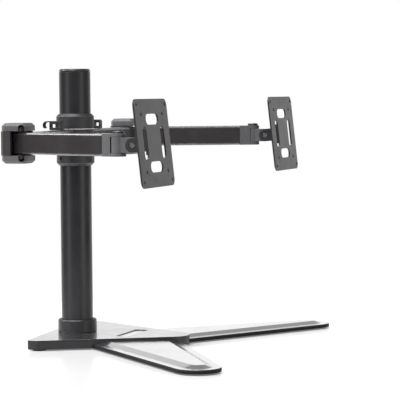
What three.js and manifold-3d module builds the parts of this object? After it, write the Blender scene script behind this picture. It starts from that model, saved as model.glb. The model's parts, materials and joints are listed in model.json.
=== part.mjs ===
// Free-standing desk stand with two folding arms, each ending in a tilting plate for a display.
// Millimetres, +Z up. The origin is at table level under the middle of the footprint. The user
// sits at -Y, and +X is the user's right. Sizes called forward are measured from the pole's axis.
// Every mesh is one solid piece of the real assembly.
import * as THREE from 'three';
import { mergeVertices } from 'three/addons/utils/BufferGeometryUtils.js';
import Module from 'manifold-3d';

const wasm = await Module();
wasm.setup();

// ---- driving dimensions -------------------------------------------------------------------
const GAP = 0.3; // clearance between pieces that touch
const SLIP = 0.3; // radial clearance of a shaft in its bore

// base: a hub plate on two legs, each with a bright cover
const FOOT_HEIGHT = 1.8;
const FOOT_RADIUS = 10;
const FOOT_EDGE = 4; // from a foot to the hub's side
const BAR_THICKNESS = 4; // dark bar of a leg
const LEG_SKIN = 1.2; // bright cover of a leg
const HUB_THICKNESS = 10.5;
const HUB_SKIN = 2.2; // bright cover of the hub
const HUB_NOSE_FORWARD = 147; // to the middle of the nose's arc
const HUB_NOSE_RADIUS = 28;
const HUB_SIDE = 116.5; // to the middle of the side corners' arcs
const HUB_SIDE_FORWARD = -12;
const HUB_SIDE_LENGTH = 8.5;
const HUB_CORNER = 6;
const HUB_REAR_RADIUS = 60;
const HUB_REAR = 38; // how far the hub reaches behind the pole's axis
const TIP_FORWARD = 280.8;
const TIP_SIDE = 252.2;
const TIP_RADIUS = 31.7;
const LEG_OUTER_ANGLE = 44; // degrees from straight ahead
const LEG_INNER_ANGLE = 57.7;
const LEG_ROOT_FORWARD = 44;
const LEG_SPLIT = 3; // half the space between the two roots
const LEG_POCKET_MARGIN = 0.5; // around a leg in the hub's pocket
const LEG_RIM = 10.8;
const PANEL_SLOPE = 11;
const PANEL_RISE = 3.8;
const TRAY_FORWARD = 87; // shallow tray in the hub's cover
const TRAY_WIDTH = 81;
const TRAY_LENGTH = 20;
const TRAY_DEPTH = 1.2;
const TRAY_CORNER = 3;
const LEG_BOLT_RADIUS = 3;
const LEG_BOLT_HEAD = 5.5;
const LEG_BOLT_HEAD_HEIGHT = 2.5;
const LEG_BOLT_PLACES = [[60, 34], [128, 22]]; // forward, sideways

// pole and what holds it
const POLE_RADIUS = 23;
const POLE_WALL = 2.5;
const POLE_LENGTH = 385;
const POLE_BOLT_RADIUS = 5;
const POLE_BOLT_HEAD = 9;
const POLE_BOLT_HEAD_HEIGHT = 5;
const INSERT_LENGTH = 25;
const CAP_PLUG = 12;
const CAP_HEIGHT = 4;
const BASE_COLLAR_WALL = 5.6;
const BASE_COLLAR_HEIGHT = 18.5;
const BASE_COLLAR_CHAMFER = 1.5;

// carriage on the pole
const ARM_Z = 298.5; // height of both arms' centre line
const COLLAR_WALL = 4.8;
const COLLAR_HEIGHT = 21.5;
const COLLAR_CHAMFER = 4;
const COLLAR_SCREW_RADIUS = 3;
const COLLAR_SCREW_ANGLE = 152;
const SCREW_INSET = 1.5; // a set screw's end below the collar's face
const RING_WALL = 4.5; // of the ring at an arm's root
const WASHER = 1;

// arms
const LINK_1 = 196; // pole axis to elbow axis
const LINK_2 = 196; // elbow axis to swivel axis
const TUBE_WIDTH = 20;
const TUBE_HEIGHT = 30;
const TUBE_WALL = 2;
const PLUG_LENGTH = 25;
const PIVOT_RADIUS = 4;
const NECK = 4; // solid stretch between a ring and its tube
const NECK_CLEARANCE = 1.5; // between a neck and the other arm's ring
const YOKE_SIZE = 37.6;
const YOKE_CORNER = 5;
const YOKE_SETBACK = 0.16 * YOKE_SIZE; // the elbow axis stands this far ahead of the yoke's middle
const SWING_CLEARANCE = 0.6; // between the yoke's walls and the tube end that swings inside
const STOP_ANGLE = 5; // degrees short of straight, where the tube meets the yoke's stop lip
const LUG_THICKNESS = 5;
const LUG_CLEARANCE = 1.6; // between a tube and the lug beside it
const LUG_INSET = 3;
const CAP_ROOF = 3;
const CAP_BEVEL = 4;
const CAP_SHIFT = 1.4; // the cap stands this far ahead of the yoke
const CAP_NOTCH_WIDTH = 8.6;
const CAP_NOTCH_HEIGHT = 8.6;
const CAP_NOTCH_DEPTH = 6;
const CAP_NOTCH_SETBACK = 7.2; // from the cap's front to the notch's middle
const CAP_LUG_GAP = 0.4; // the cap's edge stands this far out from the lug's inner face
const BOSS_MARGIN = 1.8; // from an elbow boss to its lug's front edge
const ELBOW_HEAD_HEIGHT = 2.6;
const TUBE_OVERHANG = 4.5; // tube end past the elbow axis
const PLUG_FLANGE = 1.5;
const END_PLUG_REACH = 12; // plug's inner end past the elbow axis

// head and display plate
const HEAD_LUG = 4;
const FORK_LENGTH = 22; // tube end to swivel axis
const FORK_CLEARANCE = 1.5; // around the block that turns in the fork
const SWIVEL_HEAD_RADIUS = 8;
const SWIVEL_HEAD_HEIGHT = 3;
const TILT_REACH = 24; // swivel axis to tilt axis
const TONGUE = 16;
const CHEEK = 4.5;
const BRACKET_REACH = 19; // tilt axis to the bracket's front wall
const BRACKET_WALL = 3;
const BRACKET_HEIGHT = 30;
const TILT_HEAD_RADIUS = 7;
const TILT_HEAD_HEIGHT = 4;
const STUB_RADIUS = 5;
const NUT_RADIUS = 7.8;
const NUT_HEIGHT = 4;
const PLATE_SIZE = 115;
const PLATE_THICKNESS = 2.5;
const PLATE_CORNER = 9;
const PLATE_HUB_RADIUS = 14;
const PLATE_HUB_HEIGHT = 2;
const PATTERNS = [75, 100]; // square hole patterns of a display's back
const PATTERN_HOLE = 2.6;
const WINDOW_LENGTH = 44; // lightening windows in the plate
const WINDOW_WIDTH = 14;
const WINDOW_PLACE = 31;

// cable clip on the inner link
const CLIP_PLACE = 70;
const CLIP_LENGTH = 9;
const CLIP_HEIGHT = 13;
const CLIP_WIDTH = 20;
const CLIP_SLOT_FLOOR = 3.5;
const CLIP_SLOT_HEIGHT = 5;
const CLIP_SLOT_WIDTH = 16; // over both cells
const CLIP_RIB = 1.4; // between the cells
const CLIP_CHAMFER = 2;
const HOOK_RADIUS = 6;
const HOOK_WALL = 1.6;
const HOOK_END = 232; // degrees round the hook

// rest pose, degrees
const REST_ROOT = 1.5; // inner link ahead of straight sideways
const REST_ELBOW = 63.7; // outer link turned forward from the inner one
const REST_TILT = 6.3; // plate leaning back

// ---- levels worked out from the sizes above -----------------------------------------------
const BAR_Z = FOOT_HEIGHT + GAP;
const COVER_Z = BAR_Z + BAR_THICKNESS + GAP;
const RIM_TOP = COVER_Z + LEG_SKIN;
const HUB_TOP = BAR_Z + HUB_THICKNESS;
const HUB_COVER_Z = HUB_TOP + GAP;
const BASE_TOP = HUB_COVER_Z + HUB_SKIN;
const POLE_Z = HUB_TOP + GAP;
const POLE_TOP = POLE_Z + POLE_LENGTH;
const POLE_BORE = POLE_RADIUS - POLE_WALL;
const TUBE_HALF = TUBE_HEIGHT / 2;
const BOSS_RADIUS = YOKE_SIZE / 2 - YOKE_SETBACK - LUG_INSET - BOSS_MARGIN;
const ELBOW_HEAD_RADIUS = BOSS_RADIUS;
const LUG_INNER = TUBE_HALF + LUG_CLEARANCE;
const LUG_OUTER = LUG_INNER + LUG_THICKNESS;
const CAP_INNER = LUG_INNER + CAP_LUG_GAP;
const CAP_POCKET = LUG_OUTER + GAP + ELBOW_HEAD_HEIGHT + GAP;
const CAP_TOP = CAP_POCKET + CAP_ROOF;
const BASE_COLLAR_RADIUS = POLE_RADIUS + BASE_COLLAR_WALL;
const COLLAR_RADIUS = POLE_RADIUS + COLLAR_WALL;
const ROOT_RING_RADIUS = POLE_RADIUS + RING_WALL;
const HEAD_RADIUS = TUBE_WIDTH / 2;
const TUBE_1_START = ROOT_RING_RADIUS + NECK_CLEARANCE + NECK + GAP;
const TUBE_1_END = LINK_1 - YOKE_SIZE / 2 - GAP;
const TUBE_2_END = LINK_2 - FORK_LENGTH;
const YOKE_ROOM = SWING_CLEARANCE + Math.hypot(TUBE_OVERHANG + GAP + PLUG_FLANGE, TUBE_WIDTH / 2);
const STOP_TURN = STOP_ANGLE * Math.PI / 180;
const STOP_ROOM = TUBE_WIDTH / 2 / Math.cos(STOP_TURN) - YOKE_ROOM * Math.tan(STOP_TURN);
const SWIVEL_HALF = TUBE_HALF - HEAD_LUG;
const BRACKET_FRONT = TILT_REACH + BRACKET_REACH + BRACKET_WALL;
const PLATE_BACK = BRACKET_FRONT + GAP + PLATE_HUB_HEIGHT;

// ---- materials ----------------------------------------------------------------------------
const finish = (color, roughness, metalness) =>
  new THREE.MeshStandardMaterial({ color, roughness, metalness });
const blackSteel = finish(0x1d1d1f, 0.42, 0.3);
const armSteel = finish(0x3b3839, 0.5, 0.2);
const brightMetal = finish(0xd9dbde, 0.22, 0.9);
const darkPlastic = finish(0x4a4a4c, 0.55, 0);
const blackPlastic = finish(0x222224, 0.5, 0);
const fastener = finish(0x2b2b2d, 0.35, 0.8);
const nylon = finish(0xe4e2da, 0.5, 0);
const rubber = finish(0x111111, 0.85, 0);

// ---- solids -------------------------------------------------------------------------------
const radians = (degrees) => degrees * Math.PI / 180;

function toManifold(geometry) {
  const bare = geometry.clone();
  bare.deleteAttribute('normal');
  bare.deleteAttribute('uv');
  const welded = mergeVertices(bare, 1e-4);
  const index = welded.index.array;
  const triangles = [];
  for (let i = 0; i < index.length; i += 3) {
    const [a, b, c] = [index[i], index[i + 1], index[i + 2]];
    if (a !== b && b !== c && c !== a) triangles.push(a, b, c);
  }
  return new wasm.Manifold(new wasm.Mesh({
    numProp: 3,
    vertProperties: new Float32Array(welded.attributes.position.array),
    triVerts: new Uint32Array(triangles),
  }));
}

function toGeometry(solid) {
  const mesh = solid.getMesh();
  const geometry = new THREE.BufferGeometry();
  geometry.setAttribute('position', new THREE.BufferAttribute(mesh.vertProperties, 3));
  geometry.setIndex(new THREE.BufferAttribute(mesh.triVerts, 1));
  return geometry;
}

const cut = (body, ...tools) =>
  toGeometry(tools.reduce((left, tool) => left.subtract(toManifold(tool)), toManifold(body)));
const join = (first, ...others) =>
  toGeometry(others.reduce((sum, other) => sum.add(toManifold(other)), toManifold(first)));

function block(x0, x1, y0, y1, z0, z1) {
  const geometry = new THREE.BoxGeometry(x1 - x0, y1 - y0, z1 - z0);
  return geometry.translate((x0 + x1) / 2, (y0 + y1) / 2, (z0 + z1) / 2);
}

function rod(radius, z0, z1, sides = 24) {
  const geometry = new THREE.CylinderGeometry(radius, radius, z1 - z0, sides);
  return geometry.rotateX(Math.PI / 2).translate(0, 0, (z0 + z1) / 2);
}

const alongX = (geometry) => geometry.rotateY(Math.PI / 2);
const alongY = (geometry) => geometry.rotateX(-Math.PI / 2);

// a profile of [radius, height] points, anticlockwise with the axis on its left
function turned(profile, sides = 40) {
  const points = profile.map(([radius, height]) => new THREE.Vector2(radius, height));
  return new THREE.LatheGeometry(points, sides).rotateX(Math.PI / 2);
}

function ring(outer, inner, z0, z1, sides = 40) {
  return turned([[inner, z0], [outer, z0], [outer, z1], [inner, z1], [inner, z0]], sides);
}

function extruded(shape, z0, z1, curveSegments = 12) {
  const options = { depth: z1 - z0, bevelEnabled: false, curveSegments };
  return new THREE.ExtrudeGeometry(shape, options).translate(0, 0, z0);
}

// a stack of convex outlines with equal point counts, each [points, height], from bottom to top
function loft(levels) {
  const count = levels[0][0].length;
  const positions = levels.flatMap(([points, z]) => points.flatMap((p) => [p.x, p.y, z]));
  const index = [];
  for (let i = 1; i < count - 1; i++) {
    const top = (levels.length - 1) * count;
    index.push(0, i + 1, i, top, top + i, top + i + 1);
  }
  for (let level = 0; level < levels.length - 1; level++) {
    for (let i = 0; i < count; i++) {
      const [a, b] = [level * count + i, level * count + (i + 1) % count];
      index.push(a, b, b + count, a, b + count, a + count);
    }
  }
  const geometry = new THREE.BufferGeometry();
  geometry.setAttribute('position', new THREE.Float32BufferAttribute(positions, 3));
  geometry.setIndex(index);
  return geometry;
}

// the same solid seen in a mirror: axis 0 turns left into right, axis 1 front into back
function mirrored(geometry, axis) {
  const flipped = geometry.index ? geometry.clone() : mergeVertices(geometry);
  const scale = [1, 1, 1];
  scale[axis] = -1;
  flipped.scale(...scale);
  const index = flipped.index.array;
  for (let i = 0; i < index.length; i += 3) {
    [index[i + 1], index[i + 2]] = [index[i + 2], index[i + 1]];
  }
  return flipped;
}

function piece(parent, name, geometry, material) {
  const mesh = new THREE.Mesh(geometry, material);
  mesh.name = name;
  parent.add(mesh);
  return mesh;
}

function frame(parent, x, y, z) {
  const group = new THREE.Group();
  group.position.set(x, y, z);
  parent.add(group);
  return group;
}

// ---- outlines -----------------------------------------------------------------------------
// the tight outline around circles listed anticlockwise as [x, y, radius], grown by a margin
function aroundCircles(circles, margin = 0) {
  const normals = circles.map(([x, y, r], i) => {
    const [nextX, nextY, nextR] = circles[(i + 1) % circles.length];
    const run = Math.hypot(nextX - x, nextY - y);
    return Math.atan2(nextY - y, nextX - x) - Math.acos((r - nextR) / run);
  });
  const shape = new THREE.Shape();
  circles.forEach(([x, y, r], i) => {
    const start = normals[(i + circles.length - 1) % circles.length];
    let end = normals[i];
    while (end < start) end += 2 * Math.PI;
    while (end > start + 2 * Math.PI) end -= 2 * Math.PI;
    shape.absarc(x, y, r + margin, start, end, false);
  });
  return shape;
}

function hubOutline(margin = 0) {
  const [front, back] = [-HUB_SIDE_FORWARD, HUB_SIDE_LENGTH - HUB_SIDE_FORWARD];
  return aroundCircles([
    [0, -HUB_NOSE_FORWARD, HUB_NOSE_RADIUS],
    [HUB_SIDE, front, HUB_CORNER],
    [HUB_SIDE, back, HUB_CORNER],
    [0, HUB_REAR - HUB_REAR_RADIUS, HUB_REAR_RADIUS],
    [-HUB_SIDE, back, HUB_CORNER],
    [-HUB_SIDE, front, HUB_CORNER],
  ], margin);
}

// right leg's outline, drawn in by an inset, as points anticlockwise from above
function legPoints(inset = 0, steps = 14) {
  const radius = TIP_RADIUS - inset;
  const [outer, inner] = [radians(LEG_OUTER_ANGLE), radians(LEG_INNER_ANGLE)];
  const innerTangent = new THREE.Vector2(
    TIP_SIDE - radius * Math.cos(inner), -TIP_FORWARD - radius * Math.sin(inner));
  const outerTangent = new THREE.Vector2(
    TIP_SIDE + radius * Math.cos(outer), -TIP_FORWARD + radius * Math.sin(outer));
  const split = LEG_SPLIT + inset;
  const root = LEG_ROOT_FORWARD + inset;
  const innerRoot = new THREE.Vector2(
    split, innerTangent.y + (innerTangent.x - split) / Math.tan(inner));
  const outerRoot = new THREE.Vector2(
    outerTangent.x - (-root - outerTangent.y) * Math.tan(outer), -root);
  const points = [new THREE.Vector2(split, -root), innerRoot];
  const start = Math.atan2(-Math.sin(inner), -Math.cos(inner));
  const end = Math.atan2(Math.sin(outer), Math.cos(outer));
  for (let i = 0; i <= steps; i++) {
    const angle = start + (end - start) * i / steps;
    points.push(new THREE.Vector2(
      TIP_SIDE + radius * Math.cos(angle), -TIP_FORWARD + radius * Math.sin(angle)));
  }
  points.push(outerRoot);
  return points;
}

function octagon(x0, x1, y0, y1, corner) {
  return [
    [x0 + corner, y0], [x1 - corner, y0], [x1, y0 + corner], [x1, y1 - corner],
    [x1 - corner, y1], [x0 + corner, y1], [x0, y1 - corner], [x0, y0 + corner],
  ].map(([x, y]) => new THREE.Vector2(x, y));
}

// the yoke's plan around the elbow axis, drawn in by an inset
function yokePlan(inset = 0) {
  const half = YOKE_SIZE / 2 - inset;
  return octagon(-half, half, -half - YOKE_SETBACK, half - YOKE_SETBACK, YOKE_CORNER - inset / 2);
}

function roundedRectangle(width, length, corner) {
  const [x, y] = [width / 2 - corner, length / 2 - corner];
  return aroundCircles([[-x, -y, corner], [x, -y, corner], [x, y, corner], [-x, y, corner]]);
}

// ---- base ---------------------------------------------------------------------------------
function hubPlate() {
  const pocket = (margin) => extruded(new THREE.Shape(legPoints(-margin)), 0, COVER_Z);
  const bores = LEG_BOLT_PLACES.flatMap(([forward, side]) => [side, -side].map((x) =>
    rod(LEG_BOLT_RADIUS + SLIP, 0, HUB_TOP + 1).translate(x, -forward, 0)));
  return cut(
    extruded(hubOutline(), BAR_Z, HUB_TOP),
    pocket(LEG_POCKET_MARGIN), mirrored(pocket(LEG_POCKET_MARGIN), 0), ...bores,
    rod(POLE_BOLT_RADIUS + SLIP, 0, HUB_TOP + 1),
    rod(POLE_BOLT_HEAD + SLIP, 0, BAR_Z + POLE_BOLT_HEAD_HEIGHT + GAP));
}

function hubCover() {
  const outline = roundedRectangle(TRAY_WIDTH, TRAY_LENGTH, TRAY_CORNER);
  const tray = extruded(outline, BASE_TOP - TRAY_DEPTH, BASE_TOP + 1, 4);
  return cut(
    extruded(hubOutline(), HUB_COVER_Z, BASE_TOP),
    rod(POLE_RADIUS + SLIP, HUB_TOP, BASE_TOP + 1, 48),
    tray.translate(0, -TRAY_FORWARD, 0));
}

function legBar() {
  const bores = LEG_BOLT_PLACES.flatMap(([forward, side]) => [
    rod(LEG_BOLT_RADIUS + SLIP, 0, COVER_Z).translate(side, -forward, 0),
    rod(LEG_BOLT_HEAD + SLIP, 0, BAR_Z + LEG_BOLT_HEAD_HEIGHT + GAP).translate(side, -forward, 0)]);
  return cut(extruded(new THREE.Shape(legPoints()), BAR_Z, BAR_Z + BAR_THICKNESS), ...bores);
}

function legCover() {
  const sheet = extruded(new THREE.Shape(legPoints()), COVER_Z, RIM_TOP);
  const panel = loft([
    [legPoints(LEG_RIM), RIM_TOP - LEG_SKIN / 2],
    [legPoints(LEG_RIM), RIM_TOP],
    [legPoints(LEG_RIM + PANEL_SLOPE), RIM_TOP + PANEL_RISE]]);
  return cut(join(sheet, panel), extruded(hubOutline(2 * GAP), 0, BASE_TOP + 1));
}

function legBolt() {
  const head = rod(LEG_BOLT_HEAD, BAR_Z + GAP, BAR_Z + LEG_BOLT_HEAD_HEIGHT, 16);
  return join(head, rod(LEG_BOLT_RADIUS, BAR_Z + 1, HUB_TOP - GAP, 16));
}

function poleCap() {
  const edge = POLE_TOP + GAP;
  return turned([
    [0, POLE_TOP - CAP_PLUG], [POLE_BORE - SLIP, POLE_TOP - CAP_PLUG], [POLE_BORE - SLIP, edge],
    [POLE_RADIUS, edge], [POLE_RADIUS, edge + CAP_HEIGHT / 2],
    [POLE_RADIUS - CAP_HEIGHT / 2, edge + CAP_HEIGHT], [0, edge + CAP_HEIGHT]]);
}

function poleBolt() {
  const head = rod(POLE_BOLT_HEAD, BAR_Z + GAP, BAR_Z + POLE_BOLT_HEAD_HEIGHT);
  return join(head, rod(POLE_BOLT_RADIUS, BAR_Z + 1, POLE_Z + INSERT_LENGTH - GAP));
}

function baseCollar() {
  const [low, high] = [BASE_TOP + GAP, BASE_TOP + GAP + BASE_COLLAR_HEIGHT];
  const [out, bore] = [BASE_COLLAR_RADIUS, POLE_RADIUS + SLIP];
  return turned([
    [bore, low], [out, low], [out, high - BASE_COLLAR_CHAMFER],
    [out - BASE_COLLAR_CHAMFER, high], [bore, high], [bore, low]]);
}

function buildBase(parent) {
  piece(parent, 'hub_plate', hubPlate(), blackSteel);
  piece(parent, 'hub_cover', hubCover(), brightMetal);
  for (const [side, sign] of [['left', -1], ['right', 1]]) {
    const sided = (geometry) => sign < 0 ? mirrored(geometry, 0) : geometry;
    piece(parent, `${side}_leg_bar`, sided(legBar()), blackSteel);
    piece(parent, `${side}_leg_cover`, sided(legCover()), brightMetal);
    LEG_BOLT_PLACES.forEach(([forward, across], i) => {
      const bolt = piece(parent, `${side}_leg_bolt_${i + 1}`, legBolt(), fastener);
      bolt.position.set(sign * across, -forward, 0);
    });
    const feet = [
      ['hub_foot', HUB_SIDE_FORWARD, HUB_SIDE + HUB_CORNER - FOOT_RADIUS - FOOT_EDGE],
      ['leg_foot', TIP_FORWARD, TIP_SIDE]];
    for (const [name, forward, across] of feet) {
      const foot = piece(parent, `${side}_${name}`, rod(FOOT_RADIUS, 0, FOOT_HEIGHT), rubber);
      foot.position.set(sign * across, -forward, 0);
    }
  }
  piece(parent, 'pole_tube', ring(POLE_RADIUS, POLE_BORE, POLE_Z, POLE_TOP, 48), blackSteel);
  const insert = ring(POLE_BORE - SLIP, POLE_BOLT_RADIUS + SLIP, POLE_Z, POLE_Z + INSERT_LENGTH);
  piece(parent, 'pole_insert', insert, fastener);
  piece(parent, 'pole_bolt', poleBolt(), fastener);
  piece(parent, 'base_collar', baseCollar(), blackPlastic);
  piece(parent, 'pole_cap', poleCap(), blackPlastic);
}

// ---- carriage: two collars and the washers that part the arms' rings -----------------------
const STACK = TUBE_HALF + GAP + WASHER + GAP; // collar face above or below the centre line

// upright collar with its chamfer on top; the lower one is turned over
function clampCollar() {
  const [bore, out, high] = [POLE_RADIUS + SLIP, COLLAR_RADIUS, STACK + COLLAR_HEIGHT];
  const body = turned([
    [bore, STACK], [out, STACK], [out, high - COLLAR_CHAMFER],
    [out - COLLAR_CHAMFER, high], [bore, high], [bore, STACK]]);
  const middle = STACK + COLLAR_HEIGHT / 2;
  const hole = alongX(rod(COLLAR_SCREW_RADIUS + SLIP, POLE_RADIUS - 1, COLLAR_RADIUS + 1, 16));
  return cut(body, hole.translate(0, 0, middle));
}

function collarScrew() {
  const screw = alongX(rod(COLLAR_SCREW_RADIUS, POLE_RADIUS + GAP, COLLAR_RADIUS - SCREW_INSET, 16));
  return screw.translate(0, 0, STACK + COLLAR_HEIGHT / 2);
}

function buildCarriage(parent) {
  const carriage = frame(parent, 0, 0, ARM_Z);
  for (const [name, over] of [['height_collar', true], ['retaining_collar', false]]) {
    const holder = frame(carriage, 0, 0, 0);
    const turn = radians(over ? -COLLAR_SCREW_ANGLE : 180 - COLLAR_SCREW_ANGLE);
    holder.rotation.set(over ? Math.PI : 0, 0, turn);
    piece(holder, name, clampCollar(), blackPlastic);
    piece(holder, `${name}_screw`, collarScrew(), fastener);
  }
  const washer = (z) => ring(ROOT_RING_RADIUS, POLE_RADIUS + 1, z - WASHER / 2, z + WASHER / 2);
  const offset = TUBE_HALF + GAP + WASHER / 2;
  piece(carriage, 'washer_low', washer(-offset), nylon);
  piece(carriage, 'washer_middle', washer(0), nylon);
  piece(carriage, 'washer_top', washer(offset), nylon);
  return carriage;
}

// ---- arm parts, each in its own link's frame: +X along the link, +Y to a left arm's front ------
// the block that fills a tube's end, from one place along the link to another
function tubeFill(start, end) {
  const [wide, high] = [TUBE_WIDTH / 2 - TUBE_WALL - SLIP, TUBE_HALF - TUBE_WALL - SLIP];
  return block(start, end, -wide, wide, -high, high);
}

// a left arm's ring is the lower half of the stack; its neck rises to the tube's full height
function rootRing() {
  const step = WASHER / 2 + GAP;
  const neckStart = ROOT_RING_RADIUS + NECK_CLEARANCE;
  const neckEnd = neckStart + NECK;
  const wide = TUBE_WIDTH / 2;
  const body = join(
    rod(ROOT_RING_RADIUS, -TUBE_HALF, -step, 40),
    block(0, neckStart, -wide, wide, -TUBE_HALF, -step),
    block(neckStart, neckEnd, -wide, wide, -TUBE_HALF, TUBE_HALF),
    tubeFill(neckEnd - 1, neckEnd + PLUG_LENGTH));
  return cut(body, rod(POLE_RADIUS + SLIP, -TUBE_HALF - 1, TUBE_HALF, 48));
}

function tube(start, end) {
  const [wide, high] = [TUBE_WIDTH / 2, TUBE_HALF];
  return cut(
    block(start, end, -wide, wide, -high, high),
    block(start - 1, end + 1, TUBE_WALL - wide, wide - TUBE_WALL, TUBE_WALL - high, high - TUBE_WALL));
}

function elbowYoke() {
  const half = YOKE_SIZE / 2;
  const wide = TUBE_WIDTH / 2;
  const plan = (inset) => new THREE.Shape(yokePlan(inset));
  const web = cut(
    extruded(plan(0), -LUG_INNER, LUG_INNER),
    block(-YOKE_ROOM, YOKE_ROOM, -YOKE_ROOM, half, -LUG_OUTER, LUG_OUTER),
    block(0, half + 1, -STOP_ROOM, half, -LUG_OUTER, LUG_OUTER),
    block(-half - 1, half + 1, wide, half, -LUG_OUTER, LUG_OUTER));
  const lug = (low, high) => extruded(plan(LUG_INSET), low, high);
  const boss = (low, high) => rod(BOSS_RADIUS, low, high);
  const body = join(
    web,
    lug(LUG_INNER - 0.01, LUG_OUTER), lug(-LUG_OUTER, -LUG_INNER + 0.01),
    boss(TUBE_HALF + GAP, LUG_INNER + 1), boss(-LUG_INNER - 1, -TUBE_HALF - GAP),
    tubeFill(-half - PLUG_LENGTH, 1 - half));
  return cut(body, rod(PIVOT_RADIUS + SLIP, -LUG_OUTER - 1, LUG_OUTER + 1));
}

// upper cap: a bevelled lid over the lug, with a notch in its outer face
function elbowCap() {
  const lid = loft([
    [yokePlan(0), CAP_INNER], [yokePlan(0), CAP_TOP - CAP_BEVEL], [yokePlan(CAP_BEVEL), CAP_TOP]]);
  lid.translate(0, CAP_SHIFT, 0);
  const outer = YOKE_SIZE / 2;
  const pocket = extruded(new THREE.Shape(yokePlan(LUG_INSET - GAP)), 0, CAP_POCKET);
  const [half, inner] = [CAP_NOTCH_WIDTH / 2, outer - CAP_NOTCH_DEPTH];
  const place = outer - YOKE_SETBACK + CAP_SHIFT - CAP_NOTCH_SETBACK;
  const straight = CAP_INNER + CAP_NOTCH_HEIGHT - half;
  const notch = join(
    block(inner, outer + 1, place - half, place + half, 0, straight),
    alongX(rod(half, inner, outer + 1, 16)).translate(0, place, straight));
  return cut(lid, pocket, notch);
}

function elbowBolt() {
  const head = rod(ELBOW_HEAD_RADIUS, LUG_OUTER + GAP, LUG_OUTER + GAP + ELBOW_HEAD_HEIGHT);
  return join(head, rod(PIVOT_RADIUS, -LUG_OUTER - GAP - ELBOW_HEAD_HEIGHT, LUG_OUTER + 1));
}

function elbowNut() {
  const low = -LUG_OUTER - GAP - ELBOW_HEAD_HEIGHT;
  return cut(rod(ELBOW_HEAD_RADIUS, low, -LUG_OUTER - GAP, 6), rod(PIVOT_RADIUS + SLIP, low - 1, 0));
}

function outerTube() {
  const bore = rod(PIVOT_RADIUS + SLIP, -TUBE_HALF - 1, TUBE_HALF + 1);
  return cut(tube(-TUBE_OVERHANG, TUBE_2_END), bore);
}

function tubePlug() {
  const [wide, end] = [TUBE_WIDTH / 2, -TUBE_OVERHANG - GAP];
  const body = join(
    block(end - PLUG_FLANGE, end, -wide, wide, -TUBE_HALF, TUBE_HALF),
    tubeFill(end - 1, END_PLUG_REACH));
  return cut(body, rod(PIVOT_RADIUS + SLIP, -TUBE_HALF - 1, TUBE_HALF + 1));
}

// clip with two closed cells and an open hook at its back, lying across the tube's top
function cableClip() {
  const half = CLIP_WIDTH / 2;
  const shape = new THREE.Shape();
  const hookY = -half - HOOK_RADIUS + HOOK_WALL;
  const hookZ = CLIP_HEIGHT - HOOK_RADIUS;
  const [start, end] = [radians(90), radians(HOOK_END)];
  shape.moveTo(-half, 0);
  shape.lineTo(half, 0);
  shape.lineTo(half, CLIP_HEIGHT - CLIP_CHAMFER);
  shape.lineTo(half - CLIP_CHAMFER, CLIP_HEIGHT);
  shape.lineTo(hookY, CLIP_HEIGHT);
  shape.absarc(hookY, hookZ, HOOK_RADIUS, start, end, false);
  shape.absarc(hookY, hookZ, HOOK_RADIUS - HOOK_WALL, end, start, true);
  shape.lineTo(-half, CLIP_HEIGHT - HOOK_WALL);
  const profile = extruded(shape, -CLIP_LENGTH / 2, CLIP_LENGTH / 2, 8);
  profile.rotateX(Math.PI / 2).rotateZ(Math.PI / 2);
  const [wide, rib, floor] = [CLIP_SLOT_WIDTH / 2, CLIP_RIB / 2, CLIP_SLOT_FLOOR];
  const cell = (start, end) =>
    block(-CLIP_LENGTH, CLIP_LENGTH, start, end, floor, floor + CLIP_SLOT_HEIGHT);
  const clip = cut(profile, cell(-wide, -rib), cell(rib, wide));
  return clip.translate(CLIP_PLACE, 0, TUBE_HALF + GAP);
}

// fork at the outer link's end: two lugs around the swivel block
function headFork() {
  const [start, wide] = [TUBE_2_END + GAP, TUBE_WIDTH / 2];
  const outline = (low, high) => join(
    rod(HEAD_RADIUS, low, high).translate(LINK_2, 0, 0),
    block(start, LINK_2, -wide, wide, low, high));
  const body = join(
    outline(-TUBE_HALF, TUBE_HALF),
    tubeFill(start - PLUG_LENGTH, start + 1));
  const throat = rod(HEAD_RADIUS + FORK_CLEARANCE, -SWIVEL_HALF, SWIVEL_HALF, 32);
  throat.translate(LINK_2, 0, 0);
  const mouth = block(
    LINK_2, LINK_2 + HEAD_RADIUS + 2, -wide - 1, wide + 1, -SWIVEL_HALF, SWIVEL_HALF);
  const bore = rod(PIVOT_RADIUS + SLIP, -TUBE_HALF - 1, TUBE_HALF + 1).translate(LINK_2, 0, 0);
  return cut(body, throat, mouth, bore);
}

// ---- head parts: the frame's origin is on the swivel axis and +X points to the display ---------
function swivelBlock() {
  const high = SWIVEL_HALF - GAP;
  const tongue = TONGUE / 2;
  const body = join(
    rod(HEAD_RADIUS, -high, high),
    block(0, TILT_REACH, -tongue, tongue, -high + 1, high - 1),
    alongY(rod(high - 1, -tongue, tongue)).translate(TILT_REACH, 0, 0));
  return cut(
    body,
    rod(PIVOT_RADIUS + SLIP, -high - 1, high + 1),
    alongY(rod(PIVOT_RADIUS + SLIP, -tongue - 1, tongue + 1)).translate(TILT_REACH, 0, 0));
}

function swivelPin() {
  const head = rod(SWIVEL_HEAD_RADIUS, TUBE_HALF + GAP, TUBE_HALF + GAP + SWIVEL_HEAD_HEIGHT);
  return join(head, rod(PIVOT_RADIUS, -TUBE_HALF, TUBE_HALF + 1));
}

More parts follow.
